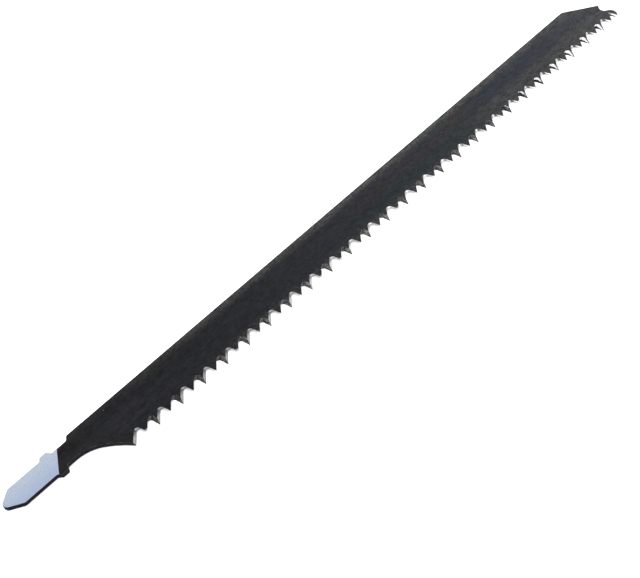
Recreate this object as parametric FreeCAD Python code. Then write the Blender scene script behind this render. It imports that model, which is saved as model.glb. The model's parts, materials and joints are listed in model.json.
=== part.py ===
# Jigsaw blade for wood, 250 mm long: one piece of flat tool steel with a bayonet tang,
# two locking lugs, a concave heel, a row of bevel-ground and alternately set teeth,
# and a slanted tip with a notch and a rounded nib.
#
# The blade lies flat. +X runs from the tang to the tip, +Y from the teeth to the back,
# +Z out of the face that carries the paint. The origin is on the back face, in the
# middle of the flat part of the tang, where the saw's clamp presses.
import FreeCAD, Part
import math
import os

# Stock
overall_length = 250.0
thickness = 1.2
blade_width = 17.0
edge_break = 0.12

# Tang, measured from its own end
tang_width = 7.2
tang_taper_angle = 35.0
taper_round = 1.0
nose_radius = 1.6
clamp_middle = 9.0
lug_start = 14.4
lug_span = 9.3
lug_rise = 0.85
lug_top = 2.1
lug_fall = 0.75
lug_round = 0.35
lug_foot_round = 0.5
neck_width = 6.35

# Back of the blade and its shoulder
back_height = 4.5
neck_to_shoulder = 4.8
shoulder_angle = 48.0
shoulder_round = 0.7

# Heel, the hollow of two arcs from the neck down to the first tooth
neck_to_heel = 2.73
heel_upper_angle = 43.0
heel_lower_angle = 62.0
heel_upper_share = 0.6

# Tip, as shares of the blade's width
slant_run_share = 0.535
slant_drop_share = 0.47
notch_edge_share = 0.218
notch_round_share = 0.106
nib_round_share = 0.13
slant_round = 0.5
corner_round = 0.2

# Teeth
nominal_pitch = 4.15
last_tooth_setback = 1.4
rake_angle = 5.0
back_angle = 44.0
gullet_radius = 0.95
bevel_angle = 32.0
tooth_set = 0.15
set_height = 2.7
point_flat = 0.04
cut_margin = 1.0

# Worked out from the sizes above
origin_x = clamp_middle
tip_y = back_height - blade_width
bend_y = tip_y + set_height
lug_end = lug_start + lug_rise + lug_top + lug_fall
slant_run = slant_run_share * blade_width
slant_drop = slant_drop_share * blade_width
notch_edge = notch_edge_share * blade_width
notch_round = notch_round_share * blade_width
nib_round = nib_round_share * blade_width

# The heel's two slopes and the arcs that use up their whole length
heel_depth = -tip_y - neck_width / 2
heel_upper_drop = heel_upper_share * heel_depth
heel_lower_drop = heel_depth - heel_upper_drop
heel_upper = math.radians(heel_upper_angle)
heel_lower = math.radians(heel_lower_angle)
large_reach = heel_lower_drop / math.sin(heel_lower)
small_reach = heel_upper_drop / math.sin(heel_upper) - large_reach
heel_large_round = large_reach / math.tan((heel_lower - heel_upper) / 2)
heel_small_round = small_reach / math.tan(heel_upper / 2)
heel_bend = lug_end + neck_to_heel + small_reach
heel_knee = heel_bend + heel_upper_drop / math.tan(heel_upper)
first_tooth = heel_knee + heel_lower_drop / math.tan(heel_lower)

# The tooth row, with as many whole pitches as fit best
last_tooth = overall_length - last_tooth_setback
pitch_count = round((last_tooth - first_tooth) / nominal_pitch)
tooth_pitch = (last_tooth - first_tooth) / pitch_count
tooth_count = pitch_count + 1

# The gullets
rake = math.radians(rake_angle)
back = math.radians(back_angle)
flank_spread = math.tan(rake) + math.tan(back)
bevel_slope = math.tan(math.radians(bevel_angle))
bevel_shift = (thickness + 2 * tooth_set) * bevel_slope
root_to_rake = gullet_radius * (1 - math.sin(rake)) / math.cos(rake)
root_to_back = gullet_radius * (1 - math.sin(back)) / math.cos(back)
flanks_run = tooth_pitch + bevel_shift - point_flat - root_to_rake - root_to_back
gullet_depth = flanks_run / flank_spread
root_y = tip_y + gullet_depth


def vector(x, y, z=0.0):
    return FreeCAD.Vector(x, y, z)


def along(point, angle, length):
    """A point further on, in a direction given in degrees from +X."""
    turn = math.radians(angle)
    return (point[0] + length * math.cos(turn), point[1] + length * math.sin(turn))


def rounded_corner(before, corner, after, radius):
    """The three points of the arc that rounds a corner of an outline."""
    middle = vector(*corner)
    back_way = (vector(*before) - middle).normalize()
    on_way = (vector(*after) - middle).normalize()
    half = back_way.getAngle(on_way) / 2
    reach = radius / math.tan(half)
    bisector = (back_way + on_way).normalize()
    centre = middle + bisector * (radius / math.sin(half))
    return middle + back_way * reach, centre - bisector * radius, middle + on_way * reach


def rounded_wire(corners):
    """A closed outline through (x, y, radius) corners, with tangent arcs at the rounded ones."""
    edges = []
    pairs = []
    count = len(corners)
    for index, (x, y, radius) in enumerate(corners):
        if radius == 0:
            pairs.append((vector(x, y), None, vector(x, y)))
            continue
        before = corners[index - 1][:2]
        after = corners[(index + 1) % count][:2]
        pairs.append(rounded_corner(before, (x, y), after, radius))
    for index, (start, middle, end) in enumerate(pairs):
        if middle is not None:
            edges.append(Part.Arc(start, middle, end).toShape())
        following = pairs[(index + 1) % count][0]
        if end.distanceToPoint(following) > 1e-6:
            edges.append(Part.LineSegment(end, following).toShape())
    return Part.Wire(edges)


def tang_corners():
    """The tang's upper half from its nose to the neck, as (x from the tang's end, y, radius)."""
    half = tang_width / 2
    nose_reach = nose_radius / math.sin(math.radians(tang_taper_angle)) - nose_radius
    taper_run = half / math.tan(math.radians(tang_taper_angle)) - nose_reach
    lug_y = lug_span / 2
    return [
        (-nose_reach, 0.0, nose_radius),
        (taper_run, half, taper_round),
        (lug_start, half, lug_foot_round),
        (lug_start + lug_rise, lug_y, lug_round),
        (lug_start + lug_rise + lug_top, lug_y, lug_round),
        (lug_end, neck_width / 2, lug_foot_round),
    ]


def shoulder_corners():
    """From the neck up to the back of the blade."""
    foot = lug_end + neck_to_shoulder
    rise = back_height - neck_width / 2
    run = rise / math.tan(math.radians(shoulder_angle))
    return [
        (foot, neck_width / 2, shoulder_round),
        (foot + run, back_height, shoulder_round),
    ]


def crossing(first, first_angle, second, second_angle):
    """Where two lines meet, each given by a point and a direction in degrees."""
    ax, ay = along((0, 0), first_angle, 1)
    bx, by = along((0, 0), second_angle, 1)
    gap_x = second[0] - first[0]
    gap_y = second[1] - first[1]
    return along(first, first_angle, (gap_x * by - gap_y * bx) / (ax * by - ay * bx))


def nib_corner(notch, slant_angle):
    """The sharp corner whose rounding just touches the blade's end and runs to the last tooth."""
    touch_x = overall_length - nib_round - nib_round * math.sin(math.radians(slant_angle))
    touch = along(notch, slant_angle, (touch_x - notch[0]) / math.cos(math.radians(slant_angle)))
    centre = along(touch, slant_angle - 90, nib_round)
    to_centre = math.atan2(centre[1] - tip_y, centre[0] - last_tooth)
    distance = math.hypot(centre[0] - last_tooth, centre[1] - tip_y)
    leaving = math.degrees(to_centre - math.asin(nib_round / distance))
    return crossing(notch, slant_angle, (last_tooth, tip_y), leaving)


def tip_corners():
    """From the back, down the slanted cut, round the notch and the nib to the last tooth."""
    corner = (overall_length, back_height - slant_drop)
    slant_angle = -math.degrees(math.atan2(slant_drop, slant_run))
    notch = along(corner, slant_angle - 90, notch_edge)
    return [
        (overall_length - slant_run, back_height, slant_round),
        corner + (corner_round,),
        notch + (notch_round,),
        nib_corner(notch, slant_angle) + (nib_round,),
        (last_tooth, tip_y, 0),
    ]


def heel_corners():
    """From the first tooth up the hollow heel to the neck's lower edge."""
    return [
        (first_tooth, tip_y, 0),
        (heel_knee, tip_y + heel_lower_drop, heel_large_round),
        (heel_bend, -neck_width / 2, heel_small_round),
    ]


def outline():
    """The whole blade's outline, with the tooth strip closed by a straight line at the points."""
    lower_tang = [(x, -y, radius) for x, y, radius in reversed(tang_corners()[1:])]
    corners = tang_corners() + shoulder_corners() + tip_corners() + heel_corners() + lower_tang
    return rounded_wire([(x - origin_x, y, radius) for x, y, radius in corners])


def is_sharp_rim(edge):
    """True for the rims of both faces, apart from the straight line that the teeth are cut in."""
    box = edge.BoundBox
    return box.ZLength < 1e-6 and box.YMax > tip_y + 1e-6


def plate():
    """The flat blank with its rims broken, open below the bend where the set teeth go."""
    blank = Part.Face(outline()).extrude(vector(0, 0, thickness))
    blank = blank.makeChamfer(edge_break, [edge for edge in blank.Edges if is_sharp_rim(edge)])
    start = gullet_middle(0)
    row = gullet_middle(tooth_count - 2) - start
    row_space = Part.makeBox(row, set_height, thickness, vector(start, tip_y, 0))
    return blank.cut(row_space)


def tooth_x(index):
    """Where a tooth's cutting point lies along the blade."""
    return first_tooth - origin_x + index * tooth_pitch


def leans_back(index):
    """True for the teeth that are set, where they are set at all, towards the back face."""
    return index % 2 == 0


def gullet_middle(index):
    """The root's place, at half thickness, of the gullet that follows a tooth."""
    return tooth_x(index + 1) - root_to_rake - gullet_depth * math.tan(rake) + bevel_shift / 2


def tooth_strip(index):
    """The bent strip that one tooth is ground from, a pitch wide, set to its own side."""
    side = -tooth_set if leans_back(index) else tooth_set
    section = Part.makePolygon([
        vector(0, bend_y, 0),
        vector(0, bend_y, thickness),
        vector(0, tip_y, thickness + side),
        vector(0, tip_y, side),
        vector(0, bend_y, 0),
    ])
    strip = Part.Face(section).extrude(vector(tooth_pitch, 0, 0))
    strip.translate(vector(gullet_middle(index - 1), 0, 0))
    return strip


def gullet_section():
    """The grinding wheel's section: a steep rake flank, a sloping back flank and a round root."""
    centre_y = root_y - gullet_radius
    reach = gullet_depth + cut_margin
    rake_touch = vector(gullet_radius * math.cos(rake), centre_y + gullet_radius * math.sin(rake))
    back_touch = vector(-gullet_radius * math.cos(back), centre_y + gullet_radius * math.sin(back))
    rake_end = rake_touch + vector(math.sin(rake), -math.cos(rake)) * reach
    back_end = back_touch + vector(-math.sin(back), -math.cos(back)) * reach
    return Part.Wire([
        Part.LineSegment(back_end, back_touch).toShape(),
        Part.Arc(back_touch, vector(0, root_y), rake_touch).toShape(),
        Part.LineSegment(rake_touch, rake_end).toShape(),
        Part.LineSegment(rake_end, back_end).toShape(),
    ])


def gullet(index):
    """One ground gullet, cut through the blade at the bevel angle, each the other way round."""
    towards_back = bevel_slope if leans_back(index) else -bevel_slope
    depth = thickness + 2 * cut_margin
    across = vector(towards_back * depth, 0, -depth)
    wheel = Part.Face(gullet_section()).extrude(across)
    wheel.translate(vector(gullet_middle(index) - across.x / 2, 0, thickness / 2 + depth / 2))
    return wheel


def blade():
    """The whole blade as one solid: the first and last teeth stay in line with the plate."""
    set_teeth = [tooth_strip(index) for index in range(1, tooth_count - 1)]
    gullets = [gullet(index) for index in range(tooth_count - 1)]
    return plate().fuse(set_teeth).cut(gullets).removeSplitter()


os.makedirs("parts", exist_ok=True)
shape = blade()
assert len(shape.Solids) == 1 and shape.isValid()
shape.Solids[0].exportStep("parts/blade.step")
box = shape.BoundBox
print("blade", round(box.XLength, 3), round(box.YLength, 3), round(box.ZLength, 3), "mm")
print("teeth", tooth_count, "pitch", round(tooth_pitch, 3), "gullet depth", round(gullet_depth, 3))
print("first tooth", round(first_tooth, 3), "heel arcs", round(heel_small_round, 2), round(heel_large_round, 2))
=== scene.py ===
import json
import math

import bmesh
import bpy
from mathutils import Matrix, Vector


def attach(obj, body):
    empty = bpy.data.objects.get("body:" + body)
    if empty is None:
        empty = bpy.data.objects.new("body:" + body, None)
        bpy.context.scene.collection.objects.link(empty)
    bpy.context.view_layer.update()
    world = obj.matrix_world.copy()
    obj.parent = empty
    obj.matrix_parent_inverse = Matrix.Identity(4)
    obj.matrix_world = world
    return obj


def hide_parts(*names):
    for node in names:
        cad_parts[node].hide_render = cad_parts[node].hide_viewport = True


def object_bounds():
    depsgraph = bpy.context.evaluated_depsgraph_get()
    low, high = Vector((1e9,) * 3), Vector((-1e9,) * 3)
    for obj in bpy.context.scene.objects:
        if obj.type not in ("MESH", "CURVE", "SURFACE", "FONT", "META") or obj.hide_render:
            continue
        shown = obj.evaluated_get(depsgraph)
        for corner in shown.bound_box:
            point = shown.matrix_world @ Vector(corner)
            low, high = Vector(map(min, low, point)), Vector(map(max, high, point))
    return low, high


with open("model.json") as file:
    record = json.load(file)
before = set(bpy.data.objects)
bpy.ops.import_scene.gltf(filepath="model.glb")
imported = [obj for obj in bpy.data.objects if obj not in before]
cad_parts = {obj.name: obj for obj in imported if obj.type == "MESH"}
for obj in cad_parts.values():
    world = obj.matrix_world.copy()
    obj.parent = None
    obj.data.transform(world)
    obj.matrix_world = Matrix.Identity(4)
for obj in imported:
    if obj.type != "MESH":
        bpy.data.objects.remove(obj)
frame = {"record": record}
cad_low, cad_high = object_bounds()

# One millimetre. The blade lies flat: +X from the tang to the tip, +Y from the teeth to the
# back edge, +Z out of the painted face, the origin on the back face in the middle of the tang.
MM = 0.001

# Sizes that the frame gives
mounts = {mount["name"]: mount["pos_m"] for mount in frame["record"]["mounts"]}
thickness = mounts["clamp_front"][2]
back_height = mounts["guide_back"][1]
tang_end = cad_low.x
tip_end = cad_high.x
tip_y = cad_low.y
lug_height = cad_high.y
tooth_set = -cad_low.z
blade_width = back_height - tip_y

# Tang, shoulder and neck
tang_half = 3.6 * MM
taper_angle = math.radians(35)
taper_round = 1.0 * MM
nose_round = 1.6 * MM
lug_start = tang_end + 14.4 * MM
lug_rise = 0.85 * MM
lug_top = 2.1 * MM
lug_fall = 0.75 * MM
lug_round = 0.35 * MM
lug_foot_round = 0.5 * MM
neck_half = 3.175 * MM
neck_to_shoulder = 4.8 * MM
shoulder_angle = math.radians(48)
shoulder_round = 0.7 * MM

# Heel
neck_to_heel = 2.73 * MM
heel_upper_angle = math.radians(43)
heel_lower_angle = math.radians(62)
heel_upper_share = 0.6

# Tip, with its cut, notch and nib as shares of the blade's width
slant_run = 0.535 * blade_width
slant_drop = 0.47 * blade_width
notch_edge = 0.218 * blade_width
notch_round = 0.106 * blade_width
nib_round = 0.13 * blade_width
slant_round = 0.5 * MM
corner_round = 0.2 * MM

# Teeth
nominal_pitch = 4.15 * MM
last_tooth_setback = 1.4 * MM
rake = math.radians(5)
relief = math.radians(44)
root_round = 0.95 * MM
bevel_slope = math.tan(math.radians(32))
set_height = 2.7 * MM
point_flat = 0.04 * MM

# The blank is parted this far to both sides of each root, so that the set changes sides only where
# the gullet is ground away
strip_gap = 0.1 * MM

# Rims and how finely arcs are divided
rim_round = 0.12 * MM
rim_steps = 3
arc_step = math.radians(7)
root_steps = 10

# The grinding wheel is wider than the plate and reaches past the points of the teeth
wheel_width = 3 * thickness
wheel_reach = 1.0 * MM

# What counts as nothing: between two points of the outline, above the line of the tooth points,
# across a parting line, between corners that are welded, and in the sine of a turn
same_point = 1e-8
same_level = 1e-7
clear_of_line = 1e-9
weld_gap = 1e-7
straight_on = 1e-3

# How squarely a face looks to the front or back, with 1 for straight on, to be more than a rim, to
# be a flat side, and to be shaded flat. Edges sharper than the angle aren't smoothed.
edge_facing = 0.4
side_facing = 0.98
flat_facing = 0.99
sharp_angle = math.radians(34)

# The line that the paint stops at: where it crosses the middle of the tang, and its slant
paint_line_x = 8.52 * MM
paint_line_slope = 0.733

# The heel's two arcs
lug_end = lug_start + lug_rise + lug_top + lug_fall
heel_depth = -tip_y - neck_half
heel_upper_drop = heel_upper_share * heel_depth
heel_lower_drop = heel_depth - heel_upper_drop
large_reach = heel_lower_drop / math.sin(heel_lower_angle)
small_reach = heel_upper_drop / math.sin(heel_upper_angle) - large_reach
heel_large_round = large_reach / math.tan((heel_lower_angle - heel_upper_angle) / 2)
heel_small_round = small_reach / math.tan(heel_upper_angle / 2)
heel_bend = lug_end + neck_to_heel + small_reach
heel_knee = heel_bend + heel_upper_drop / math.tan(heel_upper_angle)
first_tooth = heel_knee + heel_lower_drop / math.tan(heel_lower_angle)

# The tooth row
last_tooth = tip_end - last_tooth_setback
gullet_count = round((last_tooth - first_tooth) / nominal_pitch)
tooth_pitch = (last_tooth - first_tooth) / gullet_count
bevel_shift = (thickness + 2 * tooth_set) * bevel_slope
root_to_rake = root_round * (1 - math.sin(rake)) / math.cos(rake)
root_to_relief = root_round * (1 - math.sin(relief)) / math.cos(relief)
flanks_run = tooth_pitch + bevel_shift - point_flat - root_to_rake - root_to_relief
gullet_depth = flanks_run / (math.tan(rake) + math.tan(relief))
root_y = tip_y + gullet_depth
bend_y = tip_y + set_height
rake_run = gullet_depth * math.tan(rake)
first_gullet = first_tooth + tooth_pitch - root_to_rake - rake_run + bevel_shift / 2

# The oxide: its plain colour, the tints of its mottling with their places among a noise's values,
# and the grey by the back edge
plain_oxide = (0.0098, 0.0096, 0.0116, 1)
mottle_tints = (
    (0.34, (0.0084, 0.0068, 0.0070, 1)),
    (0.43, (0.0043, 0.0062, 0.0118, 1)),
    (0.50, (0.0064, 0.0069, 0.0076, 1)),
    (0.57, (0.0034, 0.0080, 0.0084, 1)),
    (0.66, (0.0094, 0.0074, 0.0072, 1)),
)
back_grey = (0.034, 0.033, 0.032, 1)

# Wide tinted bands of the oxide, and at the end two lighter grey bands towards the tip that are painted
# sheen, with places in millimetres: where each starts and stops along the blade and across it, its
# strength and its tint. Their ends fade over these lengths.
tint_and_sheen_bands = (
    ((-2.0, 18.0), (-12.0, 12.0), 0.6, (0.0112, 0.0094, 0.0086, 1)),
    ((10.0, 42.0), (-9.0, -1.0), 0.6, (0.0135, 0.0135, 0.0160, 1)),
    ((118.0, 195.0), (-4.0, 0.0), 0.5, (0.0084, 0.0066, 0.0092, 1)),
    ((120.0, 195.0), (-8.4, -4.2), 0.6, (0.0040, 0.0084, 0.0098, 1)),
    ((180.0, 240.0), (-3.5, 1.5), 0.7, (0.0042, 0.0066, 0.0135, 1)),
    # Painted sheen: the last two bands make the tip end lighter grey
    ((172.0, 280.0), (-14.0, -4.4), 0.7, (0.0170, 0.0165, 0.0175, 1)),
    ((222.0, 290.0), (-14.0, 6.0), 0.45, (0.0200, 0.0200, 0.0230, 1)),
)
run_fade = 12.0
span_fade = 1.2

# Paint
paint_lower = (0.240, 0.284, 0.384, 1)
paint_upper = (0.305, 0.347, 0.396, 1)
paint_grain = (0.16, 0.20, 0.30, 1)
paint_pinhole = (0.09, 0.11, 0.17, 1)
paint_mark = (0.05, 0.06, 0.09, 1)

# Worn and stamped steel; the worn edges' grey also makes a painted highlight along the back edge
scuffed_steel = (0.052, 0.051, 0.048, 1)
worn_and_highlight_steel = (0.12, 0.118, 0.116, 1)
rim_blue = (0.0050, 0.0074, 0.0130, 1)
rim_brown = (0.0150, 0.0116, 0.0102, 1)
rim_blotch = (0.016, 0.0155, 0.017, 1)
rim_tear = (0.045, 0.043, 0.043, 1)

# Ground steel in the two tones of its grinding lines, each pair by the shank and from the middle of the
# blade on. The change along the blade is painted light: darker by the shank and brighter from the middle
# on.
darker_lines_shade_to_light = ((0.25, 0.25, 0.255, 1), (0.78, 0.78, 0.785, 1))
lighter_lines_shade_to_light = ((0.46, 0.46, 0.465, 1), (1.0, 1.0, 1.0, 1))

# Painted shade on ground steel, each pair from its darkest to its lightest
shade_brown = ((0.036, 0.032, 0.031, 1), (0.17, 0.156, 0.152, 1))
shade_grey = ((0.032, 0.032, 0.033, 1), (0.29, 0.288, 0.286, 1))
shade_black = ((0.014, 0.014, 0.015, 1), (0.14, 0.14, 0.14, 1))
corner_shadow = (0.035, 0.033, 0.033, 1)
root_shade = (0.019, 0.018, 0.018, 1)
ridge_shade = (0.022, 0.022, 0.023, 1)
nib_skin_painted_lit = (0.070, 0.070, 0.072, 1)


# Outline of the blank

def on_from(point, angle, length):
    """A point further on, in a direction given in radians from +X."""
    return (point[0] + length * math.cos(angle), point[1] + length * math.sin(angle))


def crossing(first, first_angle, second, second_angle):
    """Where two lines meet, each given by a point and a direction."""
    way_x, way_y = on_from((0, 0), first_angle, 1)
    other_x, other_y = on_from((0, 0), second_angle, 1)
    gap_x = second[0] - first[0]
    gap_y = second[1] - first[1]
    length = (gap_x * other_y - gap_y * other_x) / (way_x * other_y - way_y * other_x)
    return on_from(first, first_angle, length)


def tang_corners():
    """The tang's upper half from its nose to the neck, as (x, y, radius)."""
    nose_reach = nose_round / math.sin(taper_angle) - nose_round
    taper_end = tang_end - nose_reach + tang_half / math.tan(taper_angle)
    return [
        (tang_end - nose_reach, 0.0, nose_round),
        (taper_end, tang_half, taper_round),
        (lug_start, tang_half, lug_foot_round),
        (lug_start + lug_rise, lug_height, lug_round),
        (lug_start + lug_rise + lug_top, lug_height, lug_round),
        (lug_end, neck_half, lug_foot_round),
    ]


def shoulder_corners():
    """From the neck up to the back edge."""
    foot = lug_end + neck_to_shoulder
    run = (back_height - neck_half) / math.tan(shoulder_angle)
    return [(foot, neck_half, shoulder_round), (foot + run, back_height, shoulder_round)]


def nib_corner(notch, slant_angle):
    """The sharp corner whose rounding touches the blade's end and runs on to the last tooth."""
    touch_x = tip_end - nib_round - nib_round * math.sin(slant_angle)
    touch = on_from(notch, slant_angle, (touch_x - notch[0]) / math.cos(slant_angle))
    centre = on_from(touch, slant_angle - math.pi / 2, nib_round)
    to_centre = math.atan2(centre[1] - tip_y, centre[0] - last_tooth)
    distance = math.hypot(centre[0] - last_tooth, centre[1] - tip_y)
    leaving = to_centre - math.asin(nib_round / distance)
    return crossing(notch, slant_angle, (last_tooth, tip_y), leaving)


def tip_corners():
    """From the back edge down the slanted cut, round the notch and the nib to the last tooth."""
    corner = (tip_end, back_height - slant_drop)
    slant_angle = -math.atan2(slant_drop, slant_run)
    notch = on_from(corner, slant_angle - math.pi / 2, notch_edge)
    return [
        (tip_end - slant_run, back_height, slant_round),
        corner + (corner_round,),
        notch + (notch_round,),
        nib_corner(notch, slant_angle) + (nib_round,),
        (last_tooth, tip_y, 0),
    ]


def heel_corners():
    """From the first tooth up the hollow heel to the neck."""
    return [
        (first_tooth, tip_y, 0),
        (heel_knee, tip_y + heel_lower_drop, heel_large_round),
        (heel_bend, -neck_half, heel_small_round),
    ]


def rounded(before, corner, after, radius):
    """The points that round one corner of an outline, a few degrees apart."""
    if radius == 0:
        return [corner]
    to_before = (before - corner).normalized()
    to_after = (after - corner).normalized()
    half = to_before.angle(to_after) / 2
    bisector = (to_before + to_after).normalized()
    centre = corner + bisector * (radius / math.sin(half))
    start = corner + to_before * (radius / math.tan(half)) - centre
    turn = start.angle_signed(corner + to_after * (radius / math.tan(half)) - centre)
    steps = max(2, math.ceil(abs(turn) / arc_step))
    points = []
    for step in range(steps + 1):
        angle = math.atan2(start.y, start.x) - turn * step / steps
        points.append(centre + Vector((math.cos(angle), math.sin(angle))) * radius)
    return points


def blank_outline():
    """All the points round the blank, clockwise seen from the painted face."""
    lower_tang = [(x, -y, radius) for x, y, radius in reversed(tang_corners()[1:])]
    corners = tang_corners() + shoulder_corners() + tip_corners() + heel_corners() + lower_tang
    points = []
    for index, (x, y, radius) in enumerate(corners):
        before = Vector(corners[index - 1][:2])
        after = Vector(corners[(index + 1) % len(corners)][:2])
        for point in rounded(before, Vector((x, y)), after, radius):
            if not points or (point - points[-1]).length > same_point:
                points.append(point)
    return points


def inset(points, distance):
    """The outline moved inwards, apart from the straight side that the teeth are cut in."""
    moved = []
    for index, point in enumerate(points):
        before = points[index - 1]
        after = points[(index + 1) % len(points)]
        way_in = (point - before).normalized()
        way_out = (after - point).normalized()
        in_shift = 0 if max(before.y, point.y) < tip_y + same_level else distance
        out_shift = 0 if max(after.y, point.y) < tip_y + same_level else distance
        in_normal = Vector((way_in.y, -way_in.x))
        out_normal = Vector((way_out.y, -way_out.x))
        spread = in_normal.x * out_normal.y - in_normal.y * out_normal.x
        if abs(spread) < straight_on:
            moved.append(point + (in_normal * in_shift + out_normal * out_shift) / 2)
            continue
        x = (in_shift * out_normal.y - out_shift * in_normal.y) / spread
        y = (out_shift * in_normal.x - in_shift * out_normal.x) / spread
        moved.append(point + Vector((x, y)))
    return moved


def spans(face, x):
    """True where a face reaches past x to both sides."""
    places = [corner.co.x for corner in face.verts]
    return min(places) < x - clear_of_line and max(places) > x + clear_of_line


def part_blank(built, place, direction, chosen):
    """Adds an edge where a plane crosses the chosen faces."""
    faces = [face for face in built.faces if chosen(face)]
    edges = {edge for face in faces for edge in face.edges}
    corners = {corner for face in faces for corner in face.verts}
    bmesh.ops.bisect_plane(built, geom=[*corners, *edges, *faces], plane_co=place, plane_no=direction)


def blank_mesh():
    """The stamped blank with its rims rounded over, parted at the bend and between the teeth."""
    outline = blank_outline()
    levels = []
    for step in range(rim_steps + 1):
        angle = math.pi / 2 * step / rim_steps
        levels.append((rim_round * (1 - math.cos(angle)), rim_round * (1 - math.sin(angle))))
    levels += [(thickness - height, shift) for height, shift in reversed(levels)]
    built = bmesh.new()
    rings = []
    for height, shift in levels:
        ring = [built.verts.new((point.x, point.y, height)) for point in inset(outline, shift)]
        rings.append(ring)
    count = len(outline)
    for low, high in zip(rings, rings[1:]):
        for index in range(count):
            following = (index + 1) % count
            built.faces.new((low[index], high[index], high[following], low[following]))
    built.faces.new(rings[0])
    built.faces.new(reversed(rings[-1]))
    bmesh.ops.recalc_face_normals(built, faces=built.faces)
    part_blank(built, (0, bend_y, 0), (0, 1, 0), lambda face: True)
    for index in range(gullet_count):
        for gap in (-strip_gap, strip_gap):
            x = first_gullet + index * tooth_pitch + gap
            part_blank(built, (x, 0, 0), (1, 0, 0),
                       lambda face: face.calc_center_median().y < bend_y and spans(face, x))
    mesh = bpy.data.meshes.new("blade_blank")
    built.to_mesh(mesh)
    built.free()
    return mesh


# Small helpers for node trees

def plug(tree, value, socket):
    """Gives an input a value, or links an output to it."""
    if isinstance(value, bpy.types.NodeSocket):
        tree.links.new(value, socket)
    else:
        socket.default_value = value


def add_node(tree, kind, inputs=None, **settings):
    """A new node with its settings made and its inputs, by name or number, filled."""
    node = tree.nodes.new(kind)
    for name, value in settings.items():
        setattr(node, name, value)
    for key, value in (inputs or {}).items():
        plug(tree, value, node.inputs[key])
    return node


def calc(tree, operation, first, second=0.0, third=0.0, clamp=False):
    """The result of a maths node."""
    return add_node(tree, "ShaderNodeMath", {0: first, 1: second, 2: third},
                    operation=operation, use_clamp=clamp).outputs[0]


def product(tree, first, *others):
    """Values multiplied together."""
    for other in others:
        first = calc(tree, "MULTIPLY", first, other)
    return first


def swayed(tree, value, sway, amount):
    """A value moved up and down by a noise, by half the amount at most."""
    return calc(tree, "ADD", value, calc(tree, "MULTIPLY_ADD", sway, amount, -amount / 2))


def parts_of(tree, place):
    """The X, Y and Z of a place or direction."""
    return add_node(tree, "ShaderNodeSeparateXYZ", {0: place}).outputs


def vector(tree, x=0.0, z=0.0):
    """A vector with nothing across the blade."""
    return add_node(tree, "ShaderNodeCombineXYZ", {"X": x, "Z": z}).outputs[0]


def new_group(name, kind, inputs, outputs):
    """A node group with named sockets, and the sockets of its input and output nodes."""
    tree = bpy.data.node_groups.new(name, kind)
    for in_out, sockets in (("INPUT", inputs), ("OUTPUT", outputs)):
        for socket_name, socket_type in sockets:
            tree.interface.new_socket(
                socket_name, in_out=in_out, socket_type="NodeSocket" + socket_type)
    return tree, tree.nodes.new("NodeGroupInput").outputs, tree.nodes.new("NodeGroupOutput").inputs


# Geometry Nodes that grind and set the tooth row

def gullet_row_group():
    """Every second gullet of the row, leaning along the blade by the bevel's slope."""
    tree, given, result = new_group(
        "gullet_row", "GeometryNodeTree",
        [("Wheel", "Geometry"), ("First", "Float"), ("Spacing", "Float"), ("Count", "Int"),
         ("Slope", "Float"), ("Middle", "Float")],
        [("Gullets", "Geometry")])
    places = add_node(tree, "GeometryNodeMeshLine", {
        "Count": given["Count"], "Offset": vector(tree, given["Spacing"]),
        "Start Location": vector(tree, given["First"], given["Middle"])})
    wheels = add_node(tree, "GeometryNodeInstanceOnPoints", {
        "Points": places.outputs[0], "Instance": given["Wheel"]})
    real = add_node(tree, "GeometryNodeRealizeInstances", {0: wheels.outputs[0]})
    place = add_node(tree, "GeometryNodeInputPosition").outputs[0]
    above = calc(tree, "SUBTRACT", parts_of(tree, place)["Z"], given["Middle"])
    lean = vector(tree, calc(tree, "MULTIPLY", above, given["Slope"]))
    leaning = add_node(tree, "GeometryNodeSetPosition", {
        "Geometry": real.outputs[0], "Offset": lean})
    plug(tree, leaning.outputs[0], result["Gullets"])
    return tree


def grinding_wheel(tree, given):
    """A straight prism with the gullet's section: two flanks and a round root, at the row's height."""
    section = add_node(tree, "GeometryNodeCurvePrimitiveQuadrilateral", {
        "Point 1": given["Root Corner"], "Point 2": given["Relief End"],
        "Point 3": given["Section Foot"], "Point 4": given["Rake End"]}, mode="POINTS")
    index = add_node(tree, "GeometryNodeInputIndex").outputs[0]
    is_root = calc(tree, "COMPARE", index, 0.0, 0.5)
    radius = calc(tree, "MULTIPLY", is_root, given["Root Radius"])
    curved = add_node(tree, "GeometryNodeFilletCurve", {
        "Curve": section.outputs[0], "Count": root_steps, "Radius": radius}, mode="POLY")
    face = add_node(tree, "GeometryNodeFillCurve", {0: curved.outputs[0]}, mode="NGONS")
    walls = add_node(tree, "GeometryNodeExtrudeMesh", {
        "Mesh": face.outputs[0], "Offset": vector(tree, z=given["Wheel Width"]),
        "Offset Scale": 1.0, "Individual": False})
    end_face = add_node(tree, "GeometryNodeFlipFaces", {0: face.outputs[0]})
    both = add_node(tree, "GeometryNodeJoinGeometry")
    for side in (walls.outputs["Mesh"], end_face.outputs[0]):
        tree.links.new(side, both.inputs[0])
    closed = add_node(tree, "GeometryNodeMergeByDistance", {
        "Geometry": both.outputs[0], "Distance": weld_gap})
    centring = vector(tree, z=calc(tree, "MULTIPLY", given["Wheel Width"], -0.5))
    moved = add_node(tree, "GeometryNodeTransform", {
        "Geometry": closed.outputs[0], "Translation": centring})
    return moved.outputs[0]


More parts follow.
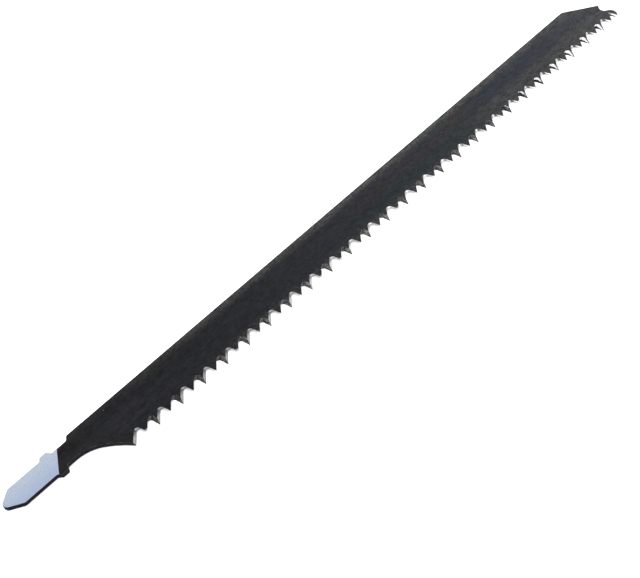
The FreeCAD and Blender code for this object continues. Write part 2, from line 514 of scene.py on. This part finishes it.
def tooth_offset(tree, given):
    """How far each place is bent to the front or the back: nothing above the bend, all at the points."""
    parts = parts_of(tree, add_node(tree, "GeometryNodeInputPosition").outputs[0])
    past = calc(tree, "SUBTRACT", parts["X"], given["First Gullet"])
    index = calc(tree, "FLOOR", calc(tree, "DIVIDE", past, given["Pitch"]))
    side = calc(tree, "MULTIPLY_ADD", calc(tree, "FLOORED_MODULO", index, 2.0), -2.0, 1.0)
    after_first = calc(tree, "GREATER_THAN", index, -0.5)
    before_last = calc(tree, "LESS_THAN", index, calc(tree, "SUBTRACT", given["Gullets"], 1.5))
    below = calc(tree, "SUBTRACT", given["Bend Height"], parts["Y"])
    share = calc(tree, "MAXIMUM", calc(tree, "DIVIDE", below, given["Set Height"]), 0.0)
    return vector(tree, z=product(tree, share, given["Set"], side, after_first, before_last))


def finished(tree, geometry, material, facing=None):
    """Sets a material on all faces, or only on those that face the front or back squarely enough."""
    chosen = True
    if facing is not None:
        normal = add_node(tree, "GeometryNodeInputNormal").outputs[0]
        squareness = calc(tree, "ABSOLUTE", parts_of(tree, normal)["Z"])
        chosen = calc(tree, "GREATER_THAN", squareness, facing)
    return add_node(tree, "GeometryNodeSetMaterial", {
        "Geometry": geometry, "Selection": chosen, "Material": material}).outputs[0]


def tooth_row_group():
    """Sets the teeth and grinds the gullets between them, each leaning the other way."""
    tree, given, result = new_group(
        "tooth_row", "GeometryNodeTree",
        [("Blank", "Geometry"), ("Pitch", "Float"), ("Gullets", "Int"), ("First Gullet", "Float"),
         ("Root Corner", "Vector"), ("Rake End", "Vector"), ("Relief End", "Vector"),
         ("Section Foot", "Vector"), ("Root Radius", "Float"), ("Wheel Width", "Float"),
         ("Bevel Slope", "Float"), ("Middle", "Float"), ("Bend Height", "Float"),
         ("Set Height", "Float"), ("Set", "Float"),
         ("Face", "Material"), ("Edge", "Material"), ("Rim", "Material"),
         ("Bright", "Material"), ("Painted Shade", "Material")],
        [("Blade", "Geometry")])
    wheel = grinding_wheel(tree, given)
    spacing = calc(tree, "MULTIPLY", given["Pitch"], 2.0)
    half_count = calc(tree, "MULTIPLY", given["Gullets"], 0.5)
    row = gullet_row_group()
    bent = add_node(tree, "GeometryNodeSetPosition", {
        "Geometry": given["Blank"], "Offset": tooth_offset(tree, given)})
    rimmed = finished(tree, bent.outputs[0], given["Rim"])
    edged = finished(tree, rimmed, given["Edge"], edge_facing)
    cut = add_node(tree, "GeometryNodeMeshBoolean", {0: edged}, operation="DIFFERENCE", solver="EXACT")
    starts = (given["First Gullet"], calc(tree, "ADD", given["First Gullet"], given["Pitch"]))
    for start, sign, finish in zip(starts, (-1.0, 1.0), ("Bright", "Painted Shade")):
        gullets = add_node(tree, "GeometryNodeGroup", node_tree=row)
        slope = calc(tree, "MULTIPLY", given["Bevel Slope"], sign)
        for name, value in (("Wheel", wheel), ("First", start), ("Spacing", spacing),
                            ("Count", half_count), ("Slope", slope), ("Middle", given["Middle"])):
            plug(tree, value, gullets.inputs[name])
        tree.links.new(finished(tree, gullets.outputs[0], given[finish]), cut.inputs["Mesh 2"])
    real = add_node(tree, "GeometryNodeRealizeInstances", {0: cut.outputs[0]})
    plug(tree, finished(tree, real.outputs[0], given["Face"], side_facing), result["Blade"])
    return tree


def wheel_section():
    """The corners of the gullet's section, its root at the row's height and x = 0."""
    half = (rake + relief) / 2
    tilt = (rake - relief) / 2
    rise = root_round / math.sin(half)
    corner = Vector((-rise * math.sin(tilt), root_y - root_round + rise * math.cos(tilt), 0))
    length = corner.y - tip_y + wheel_reach
    rake_end = corner + Vector((math.tan(rake), -1, 0)) * length
    relief_end = corner + Vector((-math.tan(relief), -1, 0)) * length
    return corner, rake_end, relief_end


def plain_mesh(source, name):
    """The finished shape of an object with its modifiers, as a new object at the origin."""
    graph = bpy.context.evaluated_depsgraph_get()
    mesh = bpy.data.meshes.new_from_object(source.evaluated_get(graph))
    mesh.name = name
    made = bpy.data.objects.new(name, mesh)
    bpy.context.scene.collection.objects.link(made)
    bpy.data.objects.remove(source)
    return made


def shade(mesh):
    """Smooth across the arcs' narrow faces, sharp round the flat sides and at real edges."""
    mesh.shade_smooth()
    shaped = bmesh.new()
    shaped.from_mesh(mesh)
    for edge in shaped.edges:
        is_flat = any(abs(face.normal.z) > flat_facing for face in edge.link_faces)
        is_bent = len(edge.link_faces) == 2 and edge.calc_face_angle() > sharp_angle
        edge.smooth = not (is_flat or is_bent)
    shaped.to_mesh(mesh)
    shaped.free()


def build_blade(materials):
    """The whole blade with its ground and set teeth."""
    source = bpy.data.objects.new("blade_source", blank_mesh())
    bpy.context.scene.collection.objects.link(source)
    tree = tooth_row_group()
    modifier = source.modifiers.new("tooth_row", "NODES")
    modifier.node_group = tree
    corner, rake_end, relief_end = wheel_section()
    values = {
        "Pitch": tooth_pitch, "Gullets": gullet_count, "First Gullet": first_gullet,
        "Root Corner": corner, "Rake End": rake_end, "Relief End": relief_end,
        "Section Foot": (rake_end + relief_end) / 2, "Root Radius": root_round,
        "Wheel Width": wheel_width, "Bevel Slope": bevel_slope, "Middle": thickness / 2,
        "Bend Height": bend_y, "Set Height": set_height, "Set": tooth_set,
        **materials,
    }
    for item in tree.interface.items_tree:
        if item.in_out == "INPUT" and item.name in values:
            modifier[item.identifier] = values[item.name]
    blade = plain_mesh(source, "toothed_blade")
    shade(blade.data)
    return blade


# Shared effects. All their places and sizes are in millimetres.

def noise(tree, place, stretch, detail=2.0, roughness=0.5, distortion=0.0):
    """A soft noise from 0 to 1, with its own fineness along each way."""
    scaled = add_node(tree, "ShaderNodeVectorMath", {0: place, 1: stretch}, operation="MULTIPLY")
    return add_node(tree, "ShaderNodeTexNoise", {
        "Vector": scaled.outputs[0], "Scale": 1.0, "Detail": detail, "Roughness": roughness,
        "Distortion": distortion}).outputs["Fac"]


def ramp(tree, value, low, high, from_value=0.0, to_value=1.0):
    """A value that goes smoothly from one to another between two limits."""
    return add_node(tree, "ShaderNodeMapRange", {
        "Value": value, "From Min": low, "From Max": high, "To Min": from_value, "To Max": to_value},
        interpolation_type="SMOOTHSTEP").outputs[0]


def within(tree, value, limits, fade):
    """1 between two limits and 0 outside them, with soft ends."""
    low, high = limits
    return calc(tree, "MULTIPLY", ramp(tree, value, low - fade, low + fade),
                ramp(tree, value, high - fade, high + fade, 1.0, 0.0))


def mix(tree, share, first, second, blend="MIX"):
    """Two colours mixed."""
    node = add_node(tree, "ShaderNodeMix", data_type="RGBA", blend_type=blend)
    for socket, value in ((0, share), (6, first), (7, second)):
        plug(tree, value, node.inputs[socket])
    return node.outputs[2]


def grey(level):
    """A plain grey."""
    return (level, level, level, 1.0)


def grey_of(tree, value):
    """The grey whose level is a node's value."""
    return add_node(tree, "ShaderNodeCombineColor", {0: value, 1: value, 2: value}).outputs[0]


def specks_group():
    """Small round specks, one at most in each cell, and only in a share of the cells."""
    tree, given, result = new_group(
        "specks", "ShaderNodeTree",
        [("Place", "Vector"), ("Spacing", "Float"), ("Radius", "Float"), ("Share", "Float")],
        [("Mask", "Float")])
    scale = calc(tree, "DIVIDE", 1.0, given["Spacing"])
    cells = add_node(tree, "ShaderNodeTexVoronoi", {"Vector": given["Place"], "Scale": scale})
    limit = calc(tree, "MULTIPLY", given["Radius"], scale)
    inside = calc(tree, "SUBTRACT", limit, cells.outputs["Distance"])
    soft = calc(tree, "DIVIDE", inside, calc(tree, "MULTIPLY", limit, 0.5), clamp=True)
    chance = add_node(tree, "ShaderNodeSeparateColor", {0: cells.outputs["Color"]}).outputs[0]
    kept = calc(tree, "LESS_THAN", chance, given["Share"])
    plug(tree, calc(tree, "MULTIPLY", soft, kept), result["Mask"])
    return tree


def oxide_group():
    """The dark heat-treated skin: mottled, with wavy tinted bands, painted sheen towards the tip, and
    greyer to the back edge.
    """
    tree, given, result = new_group(
        "oxide_skin", "ShaderNodeTree", [("Place", "Vector")],
        [("Color", "Color"), ("Roughness", "Float"), ("Height", "Float")])
    place = given["Place"]
    parts = parts_of(tree, place)
    x, y = parts["X"], parts["Y"]
    patches = noise(tree, place, (0.05, 0.24, 0.4), detail=4.0, roughness=0.6, distortion=0.4)
    mottle = add_node(tree, "ShaderNodeValToRGB", {0: patches})
    stops = mottle.color_ramp.elements
    stops[0].position, stops[0].color = mottle_tints[0]
    stops[1].position, stops[1].color = mottle_tints[-1]
    for position, tint in mottle_tints[1:-1]:
        stops.new(position).color = tint
    skin = mix(tree, ramp(tree, x, 50.0, 180.0, 0.3, 0.9), plain_oxide, mottle.outputs[0])
    wavy = noise(tree, place, (0.08, 0.3, 0.3), detail=3.0)
    across = swayed(tree, y, wavy, 5.0)
    for run, span, strength, tint in tint_and_sheen_bands:
        in_run = within(tree, x, run, run_fade)
        in_span = within(tree, across, span, span_fade)
        skin = mix(tree, product(tree, strength, in_run, in_span), skin, tint)
    along = calc(tree, "MULTIPLY", ramp(tree, x, 25.0, 62.0, 0.3, 1.0),
                 ramp(tree, x, 170.0, 230.0, 1.0, 0.55))
    by_back = calc(tree, "MULTIPLY", ramp(tree, swayed(tree, y, wavy, 2.4), 0.8, 4.2), along)
    skin = mix(tree, calc(tree, "MULTIPLY", by_back, 0.8), skin, back_grey)
    streaks = noise(tree, place, (0.10, 0.5, 0.5), detail=3.0, roughness=0.6)
    blotches = noise(tree, place, (0.4, 0.7, 0.7), detail=3.0, roughness=0.6, distortion=0.5)
    grain = noise(tree, place, (1.3, 1.9, 1.9), detail=4.0, roughness=0.75)
    uneven = 0.0
    for pattern, depth in ((streaks, 0.3), (blotches, 0.4), (grain, 0.6)):
        uneven = calc(tree, "ADD", uneven, ramp(tree, pattern, 0.3, 0.7, -depth, depth))
    light = calc(tree, "MULTIPLY_ADD", uneven, ramp(tree, x, 30.0, 200.0, 0.5, 1.05), 1.0)
    speckle = noise(tree, place, (2.6, 2.6, 2.6), detail=2.0, roughness=0.8)
    light = calc(tree, "MULTIPLY_ADD", by_back, ramp(tree, speckle, 0.32, 0.68, -0.8, 0.8), light)
    plug(tree, mix(tree, 1.0, skin, grey_of(tree, light), "MULTIPLY"), result["Color"])
    plug(tree, ramp(tree, streaks, 0.2, 0.8, 0.40, 0.54), result["Roughness"])
    plug(tree, calc(tree, "ADD", blotches, grain), result["Height"])
    return tree


def ground_group():
    """Ground steel with fine grinding lines along the gullet's walls, with painted light that makes it
    brightest from the middle of the blade on, and painted shade by the shank towards the back face and
    the points of the teeth."""
    tree, given, result = new_group(
        "ground_steel", "ShaderNodeTree", [("Place", "Vector")],
        [("Color", "Color"), ("Roughness", "Float"), ("Height", "Float")])
    lines = noise(tree, given["Place"], (0.6, 0.6, 5.0), detail=3.0, roughness=0.7)
    parts = parts_of(tree, given["Place"])
    # Painted light: the ground steel grows brighter from the shank to the middle of the blade
    painted_light_to_tip = ramp(tree, parts["X"], 55.0, 150.0)
    darker_lines = mix(tree, painted_light_to_tip, *darker_lines_shade_to_light)
    lighter_lines = mix(tree, painted_light_to_tip, *lighter_lines_shade_to_light)
    steel = mix(tree, ramp(tree, lines, 0.35, 0.65), darker_lines, lighter_lines)
    # Painted shade by the shank: darker towards the back face and towards the points of the teeth
    light = calc(tree, "MULTIPLY", ramp(tree, parts["Z"], 0.0, thickness / MM, 0.62, 1.0),
                 ramp(tree, parts["Y"], tip_y / MM, root_y / MM, 0.7, 1.1))
    light = calc(tree, "MAXIMUM", light, painted_light_to_tip)
    plug(tree, mix(tree, 1.0, steel, grey_of(tree, light), "MULTIPLY"), result["Color"])
    plug(tree, ramp(tree, lines, 0.3, 0.7, 0.18, 0.30), result["Roughness"])
    plug(tree, lines, result["Height"])
    return tree


# Small helpers for materials

def millimetres(tree):
    """Object coordinates in millimetres."""
    place = add_node(tree, "ShaderNodeTexCoord").outputs["Object"]
    return add_node(tree, "ShaderNodeVectorMath", {0: place, 3: 1 / MM}, operation="SCALE").outputs[0]


def new_material(name, metallic=1.0, **settings):
    """A material with one Principled shader, its node tree and the shader's inputs."""
    material = bpy.data.materials.new(name)
    material.use_nodes = True
    tree = material.node_tree
    shader = tree.nodes["Principled BSDF"]
    shader.inputs["Metallic"].default_value = metallic
    for key, value in settings.items():
        shader.inputs[key.replace("_", " ")].default_value = value
    return material, tree, shader.inputs


def bumped(tree, height, strength, distance):
    """A normal from a height."""
    return add_node(tree, "ShaderNodeBump", {
        "Height": height, "Strength": strength, "Distance": distance}).outputs[0]


def use_group(tree, group, **inputs):
    """A shared effect in a material, with this material's own values."""
    return add_node(tree, "ShaderNodeGroup", node_tree=group, inputs=inputs).outputs


# Flat sides, rounded edges and stamped rims

def painted_share(tree, place, parts):
    """1 on the painted end of the tang's front, up to the slanting line that the paint stops at."""
    line = calc(tree, "MULTIPLY_ADD", parts["Y"], paint_line_slope, paint_line_x / MM)
    short = calc(tree, "SUBTRACT", line, parts["X"])
    ragged = swayed(tree, short, noise(tree, place, (4.0, 4.0, 4.0), detail=3.0), 0.16)
    on_front = calc(tree, "GREATER_THAN", parts["Z"], 0.9 * thickness / MM)
    return calc(tree, "MULTIPLY", ramp(tree, ragged, -0.04, 0.04), on_front)


def side_steel(tree, place, parts, skin, specks):
    """The oxide of the flat sides, with specks and pits, painted glints on the points of some teeth, and
    scuffs by the teeth.
    """
    bright = use_group(tree, specks, Place=place, Spacing=2.6, Radius=0.2, Share=0.2)[0]
    pits = use_group(tree, specks, Place=place, Spacing=1.1, Radius=0.10, Share=0.10)[0]
    steel = mix(tree, calc(tree, "MULTIPLY", bright, 0.6), skin, grey(0.11))
    steel = mix(tree, calc(tree, "MULTIPLY", pits, 0.6), steel, grey(0.008))
    # Painted glints: light grey on the ragged points of some teeth
    glinting_teeth = ramp(tree, noise(tree, place, (0.22, 0.05, 0.05), detail=1.0), 0.48, 0.58)
    torn = noise(tree, place, (2.5, 2.5, 2.5), detail=3.0, roughness=0.7)
    ragged = swayed(tree, parts["Y"], torn, 2.4)
    points = ramp(tree, ragged, tip_y / MM + 0.5, tip_y / MM + 1.1, 1.0, 0.0)
    steel = mix(tree, calc(tree, "MULTIPLY", points, glinting_teeth), steel, grey(0.42))
    scrapes = noise(tree, place, (2.2, 0.8, 1.0), detail=4.0, roughness=0.75, distortion=0.5)
    by_teeth = ramp(tree, parts["Y"], root_y / MM - 1.0, root_y / MM + 2.0, 0.55, 0.0)
    midway = calc(tree, "MULTIPLY", ramp(tree, parts["X"], 40.0, 70.0),
                  ramp(tree, parts["X"], 130.0, 170.0, 1.0, 0.0))
    scuffs = product(tree, ramp(tree, scrapes, 0.46, 0.66), by_teeth, midway)
    return mix(tree, scuffs, steel, scuffed_steel)


def tang_paint(tree, place, parts, grain, specks):
    """Pale blue paint, greyer to the upper side, with grain, pinholes and some marks at its ends."""
    cloud = noise(tree, place, (0.5, 0.9, 0.9), detail=3.0)
    upper = ramp(tree, swayed(tree, parts["Y"], cloud, 4.0), -3.5, 3.5)
    paint = mix(tree, upper, paint_lower, paint_upper)
    paint = mix(tree, ramp(tree, grain, 0.38, 0.68, 0.0, 0.5), paint, paint_grain)
    pinholes = use_group(tree, specks, Place=place, Spacing=0.7, Radius=0.16, Share=0.30)[0]
    paint = mix(tree, calc(tree, "MULTIPLY", pinholes, 0.6), paint, paint_pinhole)
    marks = use_group(tree, specks, Place=place, Spacing=1.5, Radius=0.17, Share=0.30)[0]
    ends = calc(tree, "ADD", ramp(tree, parts["X"], -7.0, -4.0, 1.0, 0.0),
                ramp(tree, parts["X"], 3.0, 8.0))
    return mix(tree, product(tree, marks, ends, 0.75), paint, paint_mark)


def face_material(oxide, specks):
    """Both flat sides: dark oxide, and pale blue paint on the front of the tang."""
    material, tree, shader = new_material("blued_and_painted_steel")
    place = millimetres(tree)
    parts = parts_of(tree, place)
    skin = use_group(tree, oxide, Place=place)
    steel = side_steel(tree, place, parts, skin["Color"], specks)
    grain = noise(tree, place, (3.2, 3.2, 3.2), detail=3.0, roughness=0.75)
    paint = tang_paint(tree, place, parts, grain, specks)
    share = painted_share(tree, place, parts)
    plug(tree, mix(tree, share, steel, paint), shader["Base Color"])
    plug(tree, calc(tree, "SUBTRACT", 1.0, share), shader["Metallic"])
    plug(tree, calc(tree, "MAXIMUM", skin["Roughness"], share), shader["Roughness"])
    height = calc(tree, "ADD", skin["Height"], calc(tree, "MULTIPLY", share, grain))
    plug(tree, bumped(tree, height, 0.35, 0.01 * MM), shader["Normal"])
    return material


def edge_material(oxide):
    """The rounded edges, where handling has worn the oxide thin in spots that stand partly for painted
    glints, with a painted highlight most along the back edge and the slanted cut, away from the shank."""
    material, tree, shader = new_material("worn_and_highlit_edge")
    place = millimetres(tree)
    parts = parts_of(tree, place)
    skin = use_group(tree, oxide, Place=place)
    # Painted highlight along the back edge and the slanted cut, from the middle of the blade on
    back_edge_highlight = calc(tree, "MULTIPLY", ramp(tree, parts["Y"], -3.8, -3.0),
                     ramp(tree, parts["X"], 60.0, 170.0))
    wear_and_glints = noise(tree, place, (0.7, 0.7, 1.0), detail=4.0, roughness=0.7)
    rubbed_and_highlit = calc(tree, "MAXIMUM", ramp(tree, wear_and_glints, 0.4, 0.72, 0.05, 0.7),
                  calc(tree, "MULTIPLY", back_edge_highlight, 0.85))
    plug(tree, mix(tree, rubbed_and_highlit, skin["Color"], worn_and_highlight_steel), shader["Base Color"])
    plug(tree, calc(tree, "MULTIPLY_ADD", back_edge_highlight, -0.5, 1.0), shader["Metallic"])
    plug(tree, skin["Roughness"], shader["Roughness"])
    plug(tree, bumped(tree, skin["Height"], 0.3, 0.01 * MM), shader["Normal"])
    return material


def rim_material(specks):
    """The stamped rims: blue-black round the tang and brown-black beyond it, torn in fine upright
    lines, with a few bright scrapes."""
    material, tree, shader = new_material("stamped_rim")
    place = millimetres(tree)
    tears = noise(tree, place, (5.0, 5.0, 1.2), detail=3.0, roughness=0.7)
    blotches = noise(tree, place, (0.4, 0.4, 1.0), detail=2.0)
    beyond_tang = ramp(tree, parts_of(tree, place)["X"], 8.0, 26.0)
    dark = mix(tree, beyond_tang, rim_blue, rim_brown)
    dark = mix(tree, ramp(tree, blotches, 0.35, 0.65, 0.0, 0.5), dark, rim_blotch)
    torn = mix(tree, ramp(tree, tears, 0.55, 0.75, 0.0, 0.4), dark, rim_tear)
    scrapes = use_group(tree, specks, Place=place, Spacing=1.6, Radius=0.12, Share=0.16)[0]
    plug(tree, mix(tree, calc(tree, "MULTIPLY", scrapes, 0.5), torn, grey(0.22)), shader["Base Color"])
    plug(tree, ramp(tree, tears, 0.3, 0.8, 0.62, 0.42), shader["Roughness"])
    plug(tree, bumped(tree, tears, 0.6, 0.04 * MM), shader["Normal"])
    return material


# Ground gullets

def past_root(tree, parts, first, lean):
    """How far a place lies past its own gullet's root, in a row of gullets that all lean one way."""
    upright = calc(tree, "MULTIPLY_ADD", parts["Z"], -lean * bevel_slope, parts["X"])
    offset = -(first - lean * bevel_slope * thickness / 2) / MM
    return calc(tree, "WRAP", calc(tree, "ADD", upright, offset), tooth_pitch / MM, -tooth_pitch / MM)


def ground_material(name, ground):
    """A material with the ground steel's roughness and fine lines, and what its colour needs."""
    material, tree, shader = new_material(name)
    place = millimetres(tree)
    steel = use_group(tree, ground, Place=place)
    plug(tree, steel["Roughness"], shader["Roughness"])
    plug(tree, bumped(tree, steel["Height"], 0.5, 0.02 * MM), shader["Normal"])
    return material, tree, shader, place, steel["Color"]


def bright_material(ground):
    """The gullets of the first pass, left bright by the wheel but for a painted shadow in the corner on
    the rake side of the root, towards the tip."""
    material, tree, shader, place, steel = ground_material("ground_bright", ground)
    parts = parts_of(tree, place)
    past = past_root(tree, parts, first_gullet, -1)
    # Painted shadow in the root's corner on the rake side, towards the tip
    corner = calc(tree, "MULTIPLY", ramp(tree, past, 0.30, 0.48),
                  ramp(tree, parts["Y"], root_y / MM - 1.0, root_y / MM - 0.8))
    painted_corner_shadow = calc(tree, "MULTIPLY", corner, ramp(tree, parts["X"], 120.0, 180.0, 0.0, 0.9))
    plug(tree, mix(tree, painted_corner_shadow, steel, corner_shadow), shader["Base Color"])
    return material


def shade_tints(tree, place, parts, toward_tip, uneven):
    """Painted shade on the ground steel: streaky brown by the shank, grey in the middle, black towards
    the tip, and darker still up in the roots."""
    streaks = noise(tree, place, (2.6, 0.7, 3.6), detail=4.0, roughness=0.7, distortion=0.4)
    brown = mix(tree, ramp(tree, streaks, 0.42, 0.62), *shade_brown)
    dark = mix(tree, ramp(tree, streaks, 0.42, 0.60), *shade_grey)
    black = mix(tree, ramp(tree, streaks, 0.50, 0.66), *shade_black)
    tint = mix(tree, ramp(tree, parts["X"], 38.0, 75.0), brown, dark)
    tint = mix(tree, toward_tip, tint, black)
    height = calc(tree, "ADD", parts["Y"], calc(tree, "MULTIPLY", uneven, 1.5))
    root_shading = ramp(tree, height, root_y / MM - 1.4, root_y / MM - 0.2, 0.0, 0.6)
    return mix(tree, root_shading, tint, root_shade)


def ridge_band(tree, parts, past, on_nib):
    """Painted shade: a dark band by the ridges of the back-set teeth, towards the tip. It starts at
    their points and widens towards the front, because it rises more steeply than the ridge."""
    ridge_slope = 2 * bevel_slope / (math.tan(rake) + math.tan(relief))
    band_slope = 1.35 * ridge_slope
    band_start = tip_y + tooth_set * band_slope
    band_y = calc(tree, "MULTIPLY_ADD", parts["Z"], band_slope, band_start / MM)
    by_ridge = ramp(tree, calc(tree, "SUBTRACT", parts["Y"], band_y), 0.10, 0.55, 1.0, 0.0)
    strength = ramp(tree, parts["X"], 150.0, 200.0, 0.0, 0.85)
    strength = calc(tree, "SUBTRACT", strength, on_nib, clamp=True)
    return product(tree, by_ridge, ramp(tree, past, 0.2, 0.5), strength)


def shaded_gullet_material(ground):
    """The gullets of the second pass, with painted shade all over up to the middle of the blade, and
    from there on less and less, down to a wedge that runs from the root along the back face. The nib's
    facet keeps some of the dark skin on its front part, painted lighter than the oxide as painted light."""
    material, tree, shader, place, steel = ground_material("ground_painted_shade", ground)
    parts = parts_of(tree, place)
    past = past_root(tree, parts, first_gullet + tooth_pitch, 1)
    on_nib = calc(tree, "MULTIPLY", ramp(tree, past, 0.1, 0.5),
                  ramp(tree, parts["X"], last_tooth / MM - 3.0, last_tooth / MM - 2.0))
    up_tooth = calc(tree, "MULTIPLY_ADD", parts["Y"], 0.85 * MM / gullet_depth,
                    -0.85 * tip_y / gullet_depth)
    spread = ramp(tree, parts["X"], 128.0, 216.0, 1.6, -0.15)
    spread = calc(tree, "MULTIPLY_ADD", on_nib, -0.12, spread)
    wedge = calc(tree, "SUBTRACT", calc(tree, "ADD", up_tooth, spread), parts["Z"])
    flecks = noise(tree, place, (0.9, 0.9, 1.8), detail=3.0, roughness=0.65)
    uneven = calc(tree, "MULTIPLY_ADD", flecks, 0.8, -0.4)
    # Painted shade over the whole gullet by the shank, narrowing to a wedge along the back face towards
    # the tip
    painted_shade = ramp(tree, calc(tree, "ADD", wedge, uneven), -0.08, 0.12)
    toward_tip = ramp(tree, parts["X"], 160.0, 205.0)
    finish = mix(tree, painted_shade, steel, shade_tints(tree, place, parts, toward_tip, uneven))
    finish = mix(tree, ridge_band(tree, parts, past, on_nib), finish, ridge_shade)
    # The nib's front keeps dark skin, painted lighter than the oxide as painted light
    on_front = calc(tree, "MULTIPLY", on_nib, ramp(tree, parts["Z"], 0.55, 0.75))
    plug(tree, mix(tree, on_front, finish, nib_skin_painted_lit), shader["Base Color"])
    # Less metallic where the painted shade lies, away from the tip
    less_metal_in_shade = calc(tree, "MULTIPLY", painted_shade, calc(tree, "SUBTRACT", 1.0, toward_tip))
    plug(tree, calc(tree, "MULTIPLY_ADD", less_metal_in_shade, -0.5, 1.0), shader["Metallic"])
    return material


# Floor, light and camera

def build_floor():
    """A plain pale floor under the lowest points of the set teeth."""
    reach = 12.0
    corners = [(x, y, cad_low.z) for x, y in (
        (-reach, -reach), (reach, -reach), (reach, reach), (-reach, reach))]
    mesh = bpy.data.meshes.new("floor")
    mesh.from_pydata(corners, [], [(0, 1, 2, 3)])
    floor = bpy.data.objects.new("floor", mesh)
    bpy.context.scene.collection.objects.link(floor)
    material, tree, shader = new_material("pale_floor", 0.0, Roughness=0.9)
    shader["Emission Color"].default_value = grey(1.0)
    shader["Emission Strength"].default_value = 0.25
    tone = ramp(tree, noise(tree, millimetres(tree), (0.01, 0.01, 0.01)), 0.3, 0.7, 0.93, 0.95)
    plug(tree, grey_of(tree, tone), shader["Base Color"])
    mesh.materials.append(material)


def soft_light(name, place, size, power):
    """A square soft light that faces the middle of the blade."""
    light = bpy.data.lights.new(name, "AREA")
    light.shape = "SQUARE"
    light.size = size
    light.energy = power
    lamp = bpy.data.objects.new(name, light)
    lamp.location = place
    aim = (cad_low + cad_high) / 2 - Vector(place)
    lamp.rotation_euler = aim.to_track_quat("-Z", "Y").to_euler()
    bpy.context.scene.collection.objects.link(lamp)


def build_light():
    """White surroundings, dim near the horizon, with soft lights overhead and beyond the tip."""
    world = bpy.data.worlds.new("studio")
    world.use_nodes = True
    bpy.context.scene.world = world
    tree = world.node_tree
    background = tree.nodes["Background"].inputs
    background["Color"].default_value = grey(1.0)
    way = add_node(tree, "ShaderNodeTexCoord").outputs["Generated"]
    plug(tree, ramp(tree, parts_of(tree, way)["Z"], 0.08, 0.40, 0.12, 1.25), background["Strength"])
    soft_light("overhead_light", place=(0.0, 0.1, 1.2), size=1.2, power=9.0)
    soft_light("tip_light", place=(1.0, 0.7, 0.7), size=0.6, power=4.0)


def build_camera():
    """The camera, above the tang's end and turned so that the blade runs up to the right."""
    data = bpy.data.cameras.new("camera")
    data.sensor_width = 36.0
    data.sensor_fit = "HORIZONTAL"
    data.lens = 78.5
    data.clip_start = 0.01
    camera = bpy.data.objects.new("camera", data)
    place = Vector((-87.8, -227.1, 256.2)) * MM
    aim = Vector((90.6, -15.0, 1.2)) * MM
    roll = math.radians(-12.0)
    facing = (aim - place).to_track_quat("-Z", "Y").to_matrix().to_4x4()
    camera.rotation_euler = (facing @ Matrix.Rotation(roll, 4, "Z")).to_euler()
    camera.location = place
    bpy.context.scene.collection.objects.link(camera)
    bpy.context.scene.camera = camera
    bpy.context.scene.view_settings.view_transform = "Standard"


specks = specks_group()
oxide = oxide_group()
ground = ground_group()
blade = build_blade({
    "Face": face_material(oxide, specks), "Edge": edge_material(oxide), "Rim": rim_material(specks),
    "Bright": bright_material(ground), "Painted Shade": shaded_gullet_material(ground),
})
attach(blade, "root")
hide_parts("blade")
build_floor()
build_light()
build_camera()
